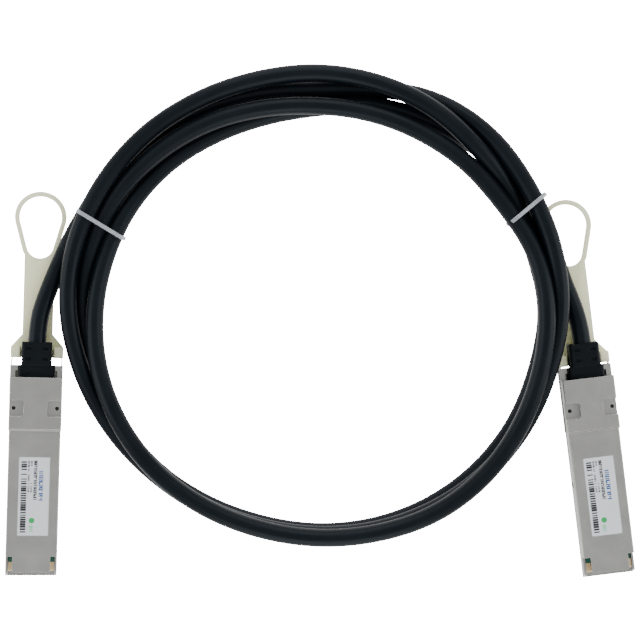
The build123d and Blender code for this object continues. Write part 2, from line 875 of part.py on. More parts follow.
for plug in plugs:
    make_bottom_shell(plug)
    make_top_shell(plug)
    card = make_paddle_card(plug)
    make_contact_pads(plug)
    make_card_parts(plug)
    pairs = make_twinax_pairs(plug)
    make_potting_block(plug, card, pairs)
    make_crimp_ferrule(plug)
    make_cable_boot(plug)
    slider = make_release_slider(pulled(plug))
    make_pull_tab(pulled(plug), slider)
    make_return_springs(plug)
    make_shell_screws(plug)
    make_label(plug)

make_tie("tie_a", *tie_left)
make_tie("tie_b", *tie_right)
make_cable_coil(plugs[1])

for plug, points, straight in zip(plugs, (lead_a_points, lead_b_points), lead_straights):
    last_corner = plug.plane.from_local_coords((0, boot_end + straight, cable_axis_height))
    boot_exit = plug.plane.from_local_coords((0, boot_end, cable_axis_height))
    make_lead(f"cable_lead_{plug.side}", [*points, tuple(last_corner), tuple(boot_exit)])
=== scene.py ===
"""Looks of a direct attach copper cable: two metal connectors on a black cable, wound and tied."""

import logging
import math
from collections.abc import Iterable
from dataclasses import dataclass, field
from enum import Enum

import bpy
from mathutils import Matrix, Vector


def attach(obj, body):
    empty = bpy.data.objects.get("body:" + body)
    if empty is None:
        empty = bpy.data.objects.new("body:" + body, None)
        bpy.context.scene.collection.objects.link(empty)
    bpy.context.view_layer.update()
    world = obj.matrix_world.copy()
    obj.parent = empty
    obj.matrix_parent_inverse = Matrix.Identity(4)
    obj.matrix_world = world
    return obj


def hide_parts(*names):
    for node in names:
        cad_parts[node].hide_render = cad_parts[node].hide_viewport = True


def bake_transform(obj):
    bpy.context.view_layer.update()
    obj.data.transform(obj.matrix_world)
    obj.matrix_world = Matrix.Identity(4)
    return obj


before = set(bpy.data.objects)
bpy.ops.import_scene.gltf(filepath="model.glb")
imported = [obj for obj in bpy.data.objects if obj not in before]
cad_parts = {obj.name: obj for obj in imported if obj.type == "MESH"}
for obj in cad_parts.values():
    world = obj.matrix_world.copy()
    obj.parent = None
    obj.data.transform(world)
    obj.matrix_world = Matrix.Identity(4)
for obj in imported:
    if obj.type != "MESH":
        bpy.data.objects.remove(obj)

logging.basicConfig(level=logging.INFO, format="%(message)s")
log = logging.getLogger("direct_attach_cable")

MM = 0.001
Feed = bpy.types.NodeSocket | float | tuple
Color = tuple[float, float, float]
WHITE = (1.0, 1.0, 1.0, 1.0)


class Side(Enum):
    """The two connectors, by the ending of their nodes' names."""

    LEFT = "a"
    RIGHT = "b"


def in_metres(point: tuple[float, float, float]) -> Vector:
    """Point given in millimetres, in metres."""
    return Vector(point) * MM


# Node trees


class Graph:
    """A node tree that is filled node by node."""

    def __init__(self, tree: bpy.types.NodeTree) -> None:
        """Keeps the tree that the nodes go into."""
        self.tree = tree

    def add(self, kind: str, **settings: object) -> bpy.types.Node:
        """Adds a node.

        Args:
            kind: Blender's name of the node's type.
            settings: Properties of the node and their values.

        Returns:
            The new node.
        """
        node = self.tree.nodes.new(kind)
        for name, value in settings.items():
            setattr(node, name, value)
        return node

    def feed(self, target: bpy.types.NodeSocket, value: Feed) -> None:
        """Links a socket to another one, or gives it a plain value.

        Args:
            target: The input socket.
            value: A socket to link to it, or its plain value.
        """
        if isinstance(value, bpy.types.NodeSocket):
            self.tree.links.new(value, target)
        else:
            target.default_value = value

    def math(self, operation: str, first: Feed, second: Feed = 0.0) -> bpy.types.NodeSocket:
        """Adds a Math node.

        Args:
            operation: Blender's name of the operation.
            first: The first value.
            second: The second value, where the operation has one.

        Returns:
            The result.
        """
        node = self.add("ShaderNodeMath", operation=operation)
        self.feed(node.inputs[0], first)
        self.feed(node.inputs[1], second)
        return node.outputs[0]

    def within(self, value: Feed, low: float, high: float) -> bpy.types.NodeSocket:
        """Tells where a value lies between two limits.

        Args:
            value: The value.
            low: The lower limit.
            high: The upper limit.

        Returns:
            Mask that is 1 between the limits.
        """
        above = self.math("GREATER_THAN", value, low)
        below = self.math("LESS_THAN", value, high)
        return self.math("MULTIPLY", above, below)

    def remap(self, value: Feed, source: tuple, target: tuple) -> bpy.types.NodeSocket:
        """Value moved from one range to another and kept inside it.

        Args:
            value: The value to move.
            source: Low and high end of the range it comes from.
            target: Low and high end of the range it goes to, numbers or sockets.

        Returns:
            The moved value.
        """
        node = self.add("ShaderNodeMapRange", clamp=True)
        self.feed(node.inputs["Value"], value)
        self.feed(node.inputs["From Min"], source[0])
        self.feed(node.inputs["From Max"], source[1])
        self.feed(node.inputs["To Min"], target[0])
        self.feed(node.inputs["To Max"], target[1])
        return node.outputs["Result"]

    def mix(self, factor: Feed, first: Feed, second: Feed) -> bpy.types.NodeSocket:
        """Mixes two colours.

        Args:
            factor: 0 for the first colour, 1 for the second one.
            first: The first colour.
            second: The second colour.

        Returns:
            The mixed colour.
        """
        node = self.add("ShaderNodeMix", data_type="RGBA")
        self.feed(node.inputs["Factor"], factor)
        self.feed(node.inputs["A"], first)
        self.feed(node.inputs["B"], second)
        return node.outputs["Result"]

    def noise(self, vector: Feed, scale: Feed, detail: float) -> bpy.types.NodeSocket:
        """Adds a noise texture.

        Args:
            vector: The place that it is read at.
            scale: How fine it is.
            detail: Its number of finer layers.

        Returns:
            The noise value.
        """
        node = self.add("ShaderNodeTexNoise")
        self.feed(node.inputs["Vector"], vector)
        self.feed(node.inputs["Scale"], scale)
        node.inputs["Detail"].default_value = detail
        return node.outputs["Fac"]

    def group(self, tree: bpy.types.NodeTree, **values: Feed) -> bpy.types.Node:
        """Places a node group.

        Args:
            tree: The group.
            values: Values for its inputs, by their names in lower case.

        Returns:
            The group's node.
        """
        node = self.add("ShaderNodeGroup", node_tree=tree)
        for name, value in values.items():
            self.feed(node.inputs[name.replace("_", " ").capitalize()], value)
        return node


class Effects:
    """Node groups that several finishes share, each built once.

    The details are the noise's layers. coarse_scale is the coarse grain's scale beside the fine
    one's. wear_cosines are the cosines of the turn of the normal where wear starts and is full.
    """

    noise_middle: float = 0.5
    drift_detail: float = 3.0
    fine_detail: float = 2.0
    coarse_detail: float = 1.0
    coarse_scale: float = 0.16
    edge_samples: int = 4
    wear_cosines: tuple[float, float] = (0.995, 0.85)

    def __init__(self) -> None:
        """Builds the groups."""
        self.drift = self.make_drift()
        self.grain = self.make_grain()
        self.worn_edge = self.make_worn_edge()

    @staticmethod
    def start(name: str, inputs: tuple[str, ...], outputs: dict[str, str]) -> Graph:
        """Starts a group with number inputs.

        Args:
            name: The group's name.
            inputs: Names of its number inputs.
            outputs: Names and socket types of its outputs.

        Returns:
            The graph of the new group, with its input and output node.
        """
        tree = bpy.data.node_groups.new(name, "ShaderNodeTree")
        for socket in inputs:
            tree.interface.new_socket(socket, in_out="INPUT", socket_type="NodeSocketFloat")
        for socket, kind in outputs.items():
            tree.interface.new_socket(socket, in_out="OUTPUT", socket_type=kind)
        graph = Graph(tree)
        graph.add("NodeGroupInput", name="in")
        graph.add("NodeGroupOutput", name="out")
        return graph

    def make_drift(self) -> bpy.types.NodeTree:
        """Builds broad soft patches, for colour and gloss that wander.

        Returns:
            The group, which puts out a mask between 0 and 1.
        """
        graph = self.start("patchy_drift", ("Scale", "Contrast"), {"Mask": "NodeSocketFloat"})
        given = graph.tree.nodes["in"].outputs
        place = graph.add("ShaderNodeTexCoord").outputs["Object"]
        value = graph.noise(place, given["Scale"], self.drift_detail)
        apart = graph.math("SUBTRACT", value, self.noise_middle)
        spread = graph.math("MULTIPLY", apart, given["Contrast"])
        moved = graph.math("ADD", spread, self.noise_middle)
        mask = graph.remap(moved, (0.0, 1.0), (0.0, 1.0))
        graph.feed(graph.tree.nodes["out"].inputs["Mask"], mask)
        return graph.tree

    def make_grain(self) -> bpy.types.NodeTree:
        """Builds the fine and medium grain of a cast, moulded or extruded skin.

        Returns:
            The group, which puts out a height.
        """
        graph = self.start("skin_grain", ("Scale", "Coarse"), {"Height": "NodeSocketFloat"})
        given = graph.tree.nodes["in"].outputs
        place = graph.add("ShaderNodeTexCoord").outputs["Object"]
        fine = graph.noise(place, given["Scale"], self.fine_detail)
        scale = graph.math("MULTIPLY", given["Scale"], self.coarse_scale)
        coarse = graph.noise(place, scale, self.coarse_detail)
        share = graph.math("MULTIPLY", coarse, given["Coarse"])
        graph.feed(graph.tree.nodes["out"].inputs["Height"], graph.math("ADD", fine, share))
        return graph.tree

    def make_worn_edge(self) -> bpy.types.NodeTree:
        """Builds rounded and worn edges.

        Returns:
            The group, which puts out a rounded normal, and a mask that is 1 on the edges.
        """
        outputs = {"Normal": "NodeSocketVector", "Mask": "NodeSocketFloat"}
        graph = self.start("worn_edge", ("Radius",), outputs)
        given = graph.tree.nodes["in"].outputs
        rounding = graph.add("ShaderNodeBevel", samples=self.edge_samples)
        graph.feed(rounding.inputs["Radius"], given["Radius"])
        flat = graph.add("ShaderNodeNewGeometry").outputs["Normal"]
        facing = graph.add("ShaderNodeVectorMath", operation="DOT_PRODUCT")
        graph.feed(facing.inputs[0], rounding.outputs["Normal"])
        graph.feed(facing.inputs[1], flat)
        mask = graph.remap(facing.outputs["Value"], self.wear_cosines, (0.0, 1.0))
        graph.feed(graph.tree.nodes["out"].inputs["Normal"], rounding.outputs["Normal"])
        graph.feed(graph.tree.nodes["out"].inputs["Mask"], mask)
        return graph.tree


# Finishes


@dataclass(frozen=True)
class Finish:
    """A plated, moulded or extruded surface. Lengths are in millimetres.

    Broad patches of drift_size mix color with drift_color, and worn edges show edge_color.
    roughness holds the smoothest and the roughest value. The drift's share of its change is
    drift_share, and the grain's the rest. skin_depth and skin_radius are how far light goes into
    a soft plastic. name is the palette's, where it isn't the slot's.
    """

    slot: str
    color: Color
    drift_color: Color
    edge_color: Color
    roughness: tuple[float, float]
    name: str = ""
    drift_size: float = 12.0
    drift_contrast: float = 2.0
    grain_size: float = 0.25
    grain_coarse: float = 0.6
    grain_strength: float = 0.1
    edge_radius: float = 0.15
    edge_amount: float = 0.5
    metallic: float = 0.0
    specular: float = 0.5
    specular_tint: Color = (1.0, 1.0, 1.0)
    softness: float = 0.0
    clearness: float = 0.0
    drift_share: float = 0.7
    gloss_span: tuple[float, float] = (0.2, 0.8)
    bump_depth: float = 0.1
    skin_depth: float = 2.0
    skin_radius: Color = (1.0, 0.95, 0.8)

    def skin_color(self, graph: Graph, mask: Feed) -> bpy.types.NodeSocket:
        """Colour of the surface before its edges are worn."""
        return graph.mix(mask, (*self.color, 1.0), (*self.drift_color, 1.0))

    def make(self, effects: Effects) -> bpy.types.Material:
        """Builds the material.

        Args:
            effects: The node groups that finishes share.

        Returns:
            The new material, named after its slot.
        """
        material = bpy.data.materials.new(f"{self.slot}_finish")
        material.use_nodes = True
        graph = Graph(material.node_tree)
        shader = material.node_tree.nodes["Principled BSDF"]
        drift = graph.group(
            effects.drift,
            scale=1.0 / (self.drift_size * MM),
            contrast=self.drift_contrast,
        ).outputs["Mask"]
        grain = graph.group(
            effects.grain,
            scale=1.0 / (self.grain_size * MM),
            coarse=self.grain_coarse,
        ).outputs["Height"]
        edge = graph.group(effects.worn_edge, radius=self.edge_radius * MM)
        worn = graph.math("MULTIPLY", edge.outputs["Mask"], self.edge_amount)
        color = graph.mix(worn, self.skin_color(graph, drift), (*self.edge_color, 1.0))
        rough = graph.math(
            "ADD",
            graph.math("MULTIPLY", drift, self.drift_share),
            graph.math("MULTIPLY", grain, 1.0 - self.drift_share),
        )
        bump = graph.add("ShaderNodeBump")
        bump.inputs["Strength"].default_value = self.grain_strength
        bump.inputs["Distance"].default_value = self.bump_depth * MM
        graph.feed(bump.inputs["Height"], grain)
        graph.feed(bump.inputs["Normal"], edge.outputs["Normal"])
        graph.feed(shader.inputs["Base Color"], color)
        gloss = graph.remap(rough, self.gloss_span, self.roughness)
        graph.feed(shader.inputs["Roughness"], gloss)
        graph.feed(shader.inputs["Normal"], bump.outputs["Normal"])
        shader.inputs["Metallic"].default_value = self.metallic
        shader.inputs["Specular IOR Level"].default_value = self.specular
        shader.inputs["Specular Tint"].default_value = (*self.specular_tint, 1.0)
        shader.inputs["Subsurface Weight"].default_value = self.softness
        shader.inputs["Subsurface Radius"].default_value = self.skin_radius
        shader.inputs["Subsurface Scale"].default_value = self.skin_depth * MM
        shader.inputs["Transmission Weight"].default_value = self.clearness
        return material


@dataclass(frozen=True)
class PlacedFinish(Finish):
    """A finish with a pattern that lies along a connector's own directions.

    middle is the pattern's zero in millimetres, and turn its turn in radians: x runs across the
    connector, y towards its cable.
    """

    middle: tuple[float, float, float] = (0.0, 0.0, 0.0)
    turn: tuple[float, float, float] = (0.0, 0.0, 0.0)

    def place(self, graph: Graph) -> tuple[bpy.types.NodeSocket, bpy.types.NodeSocket]:
        """Measures places on the connector.

        Args:
            graph: The graph that the nodes go into.

        Returns:
            Distances across and along it from the pattern's zero, in millimetres.
        """
        mapping = graph.add("ShaderNodeMapping", vector_type="TEXTURE")
        graph.feed(mapping.inputs["Vector"], graph.add("ShaderNodeTexCoord").outputs["Object"])
        mapping.inputs["Location"].default_value = in_metres(self.middle)
        mapping.inputs["Rotation"].default_value = self.turn
        mapping.inputs["Scale"].default_value = (MM, MM, MM)
        axes = graph.add("ShaderNodeSeparateXYZ")
        graph.feed(axes.inputs["Vector"], mapping.outputs["Vector"])
        return axes.outputs["X"], axes.outputs["Y"]


@dataclass(frozen=True)
class PrintedStrip:
    """One strip of a label's print: cells with an inked bar of uneven width in a part of them.

    box is its low x, high x, low y and high y from the label's middle, cell the size of a cell,
    all in millimetres. share is the part of the cells that is inked, and bar_widths are the
    narrowest and the widest bar as parts of a cell.
    """

    box: tuple[float, float, float, float]
    cell: tuple[float, float]
    share: float
    ink: Color
    bar_widths: tuple[float, float] = (0.42, 0.95)

    def mask(self, graph: Graph, x: Feed, y: Feed) -> bpy.types.NodeSocket:
        """Mask that is 1 on the ink.

        Args:
            graph: The graph that the nodes go into.
            x: Distance across the label.
            y: Distance along the label.

        Returns:
            The mask.
        """
        row = graph.math("DIVIDE", y, self.cell[1])
        cell = graph.add("ShaderNodeCombineXYZ")
        graph.feed(cell.inputs["X"], graph.math("FLOOR", graph.math("DIVIDE", x, self.cell[0])))
        graph.feed(cell.inputs["Y"], graph.math("FLOOR", row))
        noise = graph.add("ShaderNodeTexWhiteNoise", noise_dimensions="2D")
        graph.feed(noise.inputs["Vector"], cell.outputs["Vector"])
        chance = noise.outputs["Value"]
        width = graph.remap(chance, (0.0, self.share), self.bar_widths)
        bar = graph.math("LESS_THAN", graph.math("FRACT", row), width)
        inked = graph.math("MULTIPLY", bar, graph.math("LESS_THAN", chance, self.share))
        inside = graph.math(
            "MULTIPLY",
            graph.within(x, self.box[0], self.box[1]),
            graph.within(y, self.box[2], self.box[3]),
        )
        return graph.math("MULTIPLY", inked, inside)


BLACK_INK = (0.012, 0.013, 0.016)
GREY_INK = (0.07, 0.075, 0.09)
BLUE_INK = (0.008, 0.07, 0.28)
GREEN_INK = (0.01, 0.36, 0.09)
PALE_GREEN_INK = (0.22, 0.62, 0.34)
# Wider than the label, so that each bar goes right across its strip
ONE_COLUMN = 40.0


@dataclass(frozen=True)
class PrintedLabel(PlacedFinish):
    """Film with a generic print: a strip of uneven bars, dashed strips and a green dot."""

    strips: tuple[PrintedStrip, ...] = (
        PrintedStrip((-4.6, -2.6, -12.9, 12.9), (ONE_COLUMN, 0.86), 0.93, BLACK_INK),
        PrintedStrip((-2.25, -1.65, 0.9, 12.9), (ONE_COLUMN, 0.5), 0.9, GREY_INK),
        PrintedStrip((-1.25, -0.65, 11.0, 12.9), (ONE_COLUMN, 0.5), 0.95, GREY_INK),
        PrintedStrip((-1.25, -0.65, 1.0, 5.4), (ONE_COLUMN, 0.5), 0.9, GREY_INK),
        PrintedStrip((-0.15, 1.05, -1.2, 12.9), (0.6, 0.62), 0.94, BLACK_INK),
        PrintedStrip((1.7, 3.2, -1.6, 9.4), (0.75, 0.72), 0.92, BLUE_INK),
        PrintedStrip((-1.3, -0.1, -12.6, -10.2), (0.6, 0.6), 0.85, PALE_GREEN_INK),
    )
    dot: tuple[float, float] = (-0.5, -8.6)
    dot_radius: float = 1.0
    dot_ink: Color = GREEN_INK

    def skin_color(self, graph: Graph, mask: Feed) -> bpy.types.NodeSocket:
        """White film with its print.

        Args:
            graph: The graph that the nodes go into.
            mask: The drift's mask.

        Returns:
            The colour.
        """
        x, y = self.place(graph)
        printed = graph.mix(mask, (*self.color, 1.0), (*self.drift_color, 1.0))
        for strip in self.strips:
            printed = graph.mix(strip.mask(graph, x, y), printed, (*strip.ink, 1.0))
        across = graph.math("POWER", graph.math("SUBTRACT", x, self.dot[0]), 2.0)
        along = graph.math("POWER", graph.math("SUBTRACT", y, self.dot[1]), 2.0)
        near = graph.math("LESS_THAN", graph.math("ADD", across, along), self.dot_radius**2)
        return graph.mix(near, printed, (*self.dot_ink, 1.0))


@dataclass(frozen=True)
class BoardFinish(PlacedFinish):
    """Solder mask with fine lighter tracks along the card, bare and plated at its front end.

    track_span is where a track starts and ends in its pitch, as parts of it, and plated_from is
    where the plated end starts along the connector.
    """

    track_color: Color = (0.03, 0.24, 0.17)
    track_pitch: float = 0.8
    track_span: tuple[float, float] = (0.35, 0.6)
    track_strength: float = 0.6
    plated_color: Color = (0.80, 0.62, 0.36)
    plated_from: float = -47.5

    def skin_color(self, graph: Graph, mask: Feed) -> bpy.types.NodeSocket:
        """Green mask, lighter over the tracks, and the plated end.

        Args:
            graph: The graph that the nodes go into.
            mask: The drift's mask.

        Returns:
            The colour.
        """
        x, y = self.place(graph)
        row = graph.math("DIVIDE", x, self.track_pitch)
        track = graph.within(graph.math("FRACT", row), *self.track_span)
        base = graph.mix(mask, (*self.color, 1.0), (*self.drift_color, 1.0))
        shown = graph.math("MULTIPLY", track, self.track_strength)
        green = graph.mix(shown, base, (*self.track_color, 1.0))
        plated = graph.math("LESS_THAN", y, self.plated_from)
        return graph.mix(plated, green, (*self.plated_color, 1.0))


NICKEL_SHELL = Finish(
    slot="nickel_shell",
    color=(0.38, 0.38, 0.365),
    drift_color=(0.455, 0.455, 0.435),
    edge_color=(0.86, 0.86, 0.85),
    roughness=(0.30, 0.44),
    drift_size=9.0,
    drift_contrast=1.1,
    metallic=1.0,
    edge_radius=0.18,
    edge_amount=0.65,
    grain_strength=0.16,
    grain_size=0.18,
)
STEEL_SPRING = Finish(
    slot="steel_spring",
    color=(0.46, 0.46, 0.47),
    drift_color=(0.52, 0.52, 0.53),
    edge_color=(0.7, 0.7, 0.7),
    roughness=(0.24, 0.36),
    metallic=1.0,
    edge_radius=0.06,
    grain_strength=0.05,
)
BLACK_JACKET = Finish(
    slot="black_jacket",
    color=(0.0022, 0.0036, 0.0058),
    drift_color=(0.0040, 0.0058, 0.0088),
    edge_color=(0.02, 0.022, 0.028),
    roughness=(0.28, 0.40),
    drift_size=18.0,
    grain_size=0.5,
    grain_coarse=1.4,
    grain_strength=0.06,
    edge_amount=0.0,
    specular=0.15,
    specular_tint=(0.80, 0.92, 1.0),
)
BLACK_BOOT = Finish(
    slot="black_boot",
    color=(0.0016, 0.0026, 0.0038),
    drift_color=(0.0032, 0.0046, 0.0062),
    edge_color=(0.022, 0.025, 0.03),
    roughness=(0.46, 0.6),
    grain_size=0.16,
    grain_strength=0.2,
    edge_radius=0.25,
    edge_amount=0.5,
    specular=0.13,
    specular_tint=(0.80, 0.92, 1.0),
)
BEIGE_STRAP = Finish(
    slot="beige_strap",
    color=(0.90, 0.93, 0.62),
    drift_color=(0.93, 0.955, 0.66),
    edge_color=(0.95, 0.96, 0.78),
    roughness=(0.42, 0.52),
    drift_contrast=1.4,
    grain_strength=0.08,
    edge_radius=0.2,
    edge_amount=0.4,
    softness=0.15,
)
# Painted shade: the screws are near-black so that their holes read as dark, shaded holes
SCREW_HOLE_SHADE = Finish(
    slot="steel_spring",
    name="screw_hole_painted_shade",
    color=(0.012, 0.012, 0.013),
    drift_color=(0.02, 0.02, 0.021),
    edge_color=(0.05, 0.05, 0.05),
    roughness=(0.45, 0.6),
    edge_radius=0.06,
    specular=0.25,
)
GOLD_PADS = Finish(
    slot="gold_pads",
    color=(0.78, 0.55, 0.26),
    drift_color=(0.83, 0.62, 0.33),
    edge_color=(0.9, 0.75, 0.45),
    roughness=(0.22, 0.34),
    metallic=1.0,
    grain_strength=0.05,
    edge_radius=0.03,
)
CHIPS = Finish(
    slot="chips",
    color=(0.02, 0.02, 0.02),
    drift_color=(0.03, 0.03, 0.03),
    edge_color=(0.08, 0.08, 0.08),
    roughness=(0.42, 0.55),
    edge_radius=0.06,
)
POTTING = Finish(
    slot="potting",
    color=(0.62, 0.55, 0.36),
    drift_color=(0.70, 0.64, 0.46),
    edge_color=(0.78, 0.73, 0.58),
    roughness=(0.3, 0.45),
    softness=0.2,
)
PAIR_INSULATION = Finish(
    slot="pair_insulation",
    color=(0.60, 0.61, 0.64),
    drift_color=(0.68, 0.69, 0.72),
    edge_color=(0.8, 0.8, 0.82),
    roughness=(0.25, 0.45),
    metallic=0.9,
    grain_size=0.6,
    grain_strength=0.3,
)
FERRULE_BRASS = Finish(
    slot="ferrule_brass",
    color=(0.60, 0.45, 0.22),
    drift_color=(0.52, 0.38, 0.18),
    edge_color=(0.8, 0.66, 0.4),
    roughness=(0.28, 0.42),
    metallic=1.0,
)
NYLON_TIE = Finish(
    slot="nylon_tie",
    color=(0.56, 0.61, 0.67),
    drift_color=(0.66, 0.71, 0.77),
    edge_color=(0.82, 0.86, 0.90),
    roughness=(0.3, 0.44),
    drift_size=4.0,
    edge_radius=0.12,
    grain_strength=0.06,
    clearness=0.55,
)
PLAIN_FINISHES = (
    NICKEL_SHELL,
    STEEL_SPRING,
    BLACK_JACKET,
    BLACK_BOOT,
    BEIGE_STRAP,
    SCREW_HOLE_SHADE,
    GOLD_PADS,
    CHIPS,
    POTTING,
    PAIR_INSULATION,
    FERRULE_BRASS,
    NYLON_TIE,
)


@dataclass
class Palette:
    """The materials of the object, by the names of their finishes."""

    effects: Effects
    materials: dict[str, bpy.types.Material] = field(default_factory=dict)

    def add(self, finish: Finish) -> None:
        """Makes a finish's material and keeps it under the finish's name, or else its slot's."""
        self.materials[finish.name or finish.slot] = finish.make(self.effects)

    def fill(self) -> None:
        """Makes the finishes that don't depend on a place."""
        for finish in PLAIN_FINISHES:
            self.add(finish)
        log.info("finishes: %d", len(self.materials))

    def dress(self, piece: bpy.types.Object, name: str) -> None:
        """Puts a material on every slot of a piece, or adds the slot where it has none.

        Args:
            piece: The piece.
            name: The name of the finish.
        """
        if not piece.material_slots:
            piece.data.materials.append(None)
        for slot in piece.material_slots:
            slot.material = self.materials[name]
        log.info("%s: finished as %s", piece.name, name)


# Meshes


def select_only(piece: bpy.types.Object) -> None:
    """Deselects everything and makes one piece the active one.

    Args:
        piece: The piece to select.
    """
    bpy.ops.object.select_all(action="DESELECT")
    piece.select_set(True)
    bpy.context.view_layer.objects.active = piece


@dataclass(frozen=True)
class SoftenedCopy:
    """Copy of a CAD solid whose edges are really rounded. Millimetres and degrees.

    merge_distance joins the loose triangles' corners, and face_angle is what still counts as
    flat. slimming holds the shares that stay along heading and across it.
    """

    node: str
    body: str
    slot: str
    edge_round: float
    segments: int = 3
    edge_angle: float = 32.0
    face_angle: float = 1.0
    smooth_angle: float = 40.0
    merge_distance: float = 0.002
    heading: float = 0.0
    slimming: tuple[float, float] = (1.0, 1.0)

    def slim(self, piece: bpy.types.Object) -> None:
        """Scales the mesh about its middle, along and across its heading.

        Args:
            piece: The copied piece.
        """
        spots = [vertex.co for vertex in piece.data.vertices]
        middle = Matrix.Translation(sum(spots, Vector()) / len(spots))
        turn = Matrix.Rotation(math.radians(self.heading), 4, "Z")
        shares = Matrix.Diagonal((*self.slimming, 1.0, 1.0))
        piece.data.transform(middle @ turn @ shares @ turn.inverted() @ middle.inverted())

    def build(self, palette: Palette) -> bpy.types.Object:
        """Copies the node's mesh, merges its triangles and rounds its edges.

        Args:
            palette: The finishes.

        Returns:
            The new piece, which stands for the node.
        """
        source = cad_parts[self.node]
        piece = bpy.data.objects.new(f"soft_{self.node}", source.data.copy())
        bpy.context.scene.collection.objects.link(piece)
        select_only(piece)
        bpy.ops.object.mode_set(mode="EDIT")
        bpy.ops.mesh.select_all(action="SELECT")
        bpy.ops.mesh.remove_doubles(threshold=self.merge_distance * MM)
        bpy.ops.mesh.dissolve_limited(angle_limit=math.radians(self.face_angle))
        bpy.ops.object.mode_set(mode="OBJECT")
        self.slim(piece)
        rounding = piece.modifiers.new("rounded_edges", "BEVEL")
        rounding.width = self.edge_round * MM
        rounding.segments = self.segments
        rounding.limit_method = "ANGLE"
        rounding.angle_limit = math.radians(self.edge_angle)
        bpy.ops.object.modifier_apply(modifier=rounding.name)
        bpy.ops.object.shade_smooth_by_angle(angle=math.radians(self.smooth_angle))
        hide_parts(self.node)
        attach(piece, self.body)
        palette.dress(piece, self.slot)
        log.info("%s: %d faces", piece.name, len(piece.data.polygons))
        return piece


# The studio


@dataclass
class Studio:
    """Camera straight above, a white table and soft light from all round. Metres and watts.

    focal_pixels is the focal length in pixels of an image of image_size. The camera
    sees the table glow by table_white, and the object is lit by table_glow.
    """

    image_size: float = 640.0
    focal_pixels: float = 1537.8
    sensor_width: float = 36.0
    camera_place: tuple[float, float, float] = (0.0, 0.024, 0.560)
    nearest_seen: float = 0.01
    table_size: float = 6.0
    table_tones: tuple[float, float] = (0.86, 0.88)
    table_roughness: tuple[float, float] = (0.55, 0.7)
    patch_scale: float = 6.0
    patch_detail: float = 3.0
    patch_span: tuple[float, float] = (0.3, 0.7)
    table_glow: float = 0.8
    table_white: float = 24.0
    sky_strength: float = 0.72
    lamp_size: float = 0.9
    lamps_aim: tuple[float, float, float] = (0.0, 0.0, 0.0)
    lamps: tuple[tuple[str, tuple[float, float, float], float], ...] = (
        ("lamp_left", (-1.1, 0.1, 0.62), 7.0),
        ("lamp_right", (1.1, 0.1, 0.62), 7.0),
        ("lamp_far", (0.0, 1.1, 0.62), 6.0),
        ("lamp_near", (0.0, -1.1, 0.62), 8.0),
    )

    def set_camera(self) -> None:
        """Places the camera, looking straight down with the pull tabs at the top of the image."""
        camera = bpy.data.cameras.new("camera")
        camera.sensor_width = self.sensor_width
        camera.lens = self.focal_pixels * self.sensor_width / self.image_size
        camera.clip_start = self.nearest_seen
        holder = bpy.data.objects.new("camera", camera)
        holder.location = self.camera_place
        bpy.context.scene.collection.objects.link(holder)
        bpy.context.scene.camera = holder

    def set_table(self) -> None:
        """Adds the plain pale surface that the object lies on."""
        bpy.ops.object.select_all(action="DESELECT")
        bpy.ops.mesh.primitive_plane_add(size=self.table_size, location=(0.0, 0.0, 0.0))
        table = bpy.context.active_object
        table.name = "table_surface"
        material = bpy.data.materials.new("white_surface")
        material.use_nodes = True
        graph = Graph(material.node_tree)
        shader = material.node_tree.nodes["Principled BSDF"]
        place = graph.add("ShaderNodeTexCoord").outputs["Object"]
        patches = graph.noise(place, self.patch_scale, self.patch_detail)
        darker, lighter = ((tone, tone, tone, 1.0) for tone in self.table_tones)
        graph.feed(shader.inputs["Base Color"], graph.mix(patches, darker, lighter))
        rough = graph.remap(patches, self.patch_span, self.table_roughness)
        graph.feed(shader.inputs["Roughness"], rough)
        shader.inputs["Emission Color"].default_value = WHITE
        seen = graph.add("ShaderNodeLightPath").outputs["Is Camera Ray"]
        glow = graph.remap(seen, (0.0, 1.0), (self.table_glow, self.table_white))
        graph.feed(shader.inputs["Emission Strength"], glow)
        table.data.materials.append(material)

    def set_light(self) -> None:
        """Adds a pale sky and large soft lamps around the object."""
        world = bpy.data.worlds.new("studio_sky")
        world.use_nodes = True
        background = world.node_tree.nodes["Background"]
        background.inputs["Color"].default_value = WHITE
        background.inputs["Strength"].default_value = self.sky_strength
        bpy.context.scene.world = world
        for name, place, power in self.lamps:
            lamp = bpy.data.lights.new(name, "AREA")
            lamp.shape = "SQUARE"
            lamp.size = self.lamp_size
            lamp.energy = power
            holder = bpy.data.objects.new(name, lamp)
            holder.location = place
            aim = Vector(self.lamps_aim) - Vector(place)
            holder.rotation_euler = aim.to_track_quat("-Z", "Y").to_euler()
            bpy.context.scene.collection.objects.link(holder)

    def build(self) -> None:
        """Sets up camera, table and light."""
        self.set_camera()
        self.set_table()
        self.set_light()
        log.info("studio: camera, table, sky and lamps")


# The cable


@dataclass(frozen=True)
class Turn:
    """One turn of the cable in the ring, clockwise.

    strands holds, for every step of the turn, the distance of the cable's middle from the ring's
    centre and its height above the table, in millimetres. start is the first one's angle from the
    top of the ring, in degrees.
    """

    start: float
    strands: tuple[tuple[float, float], ...]


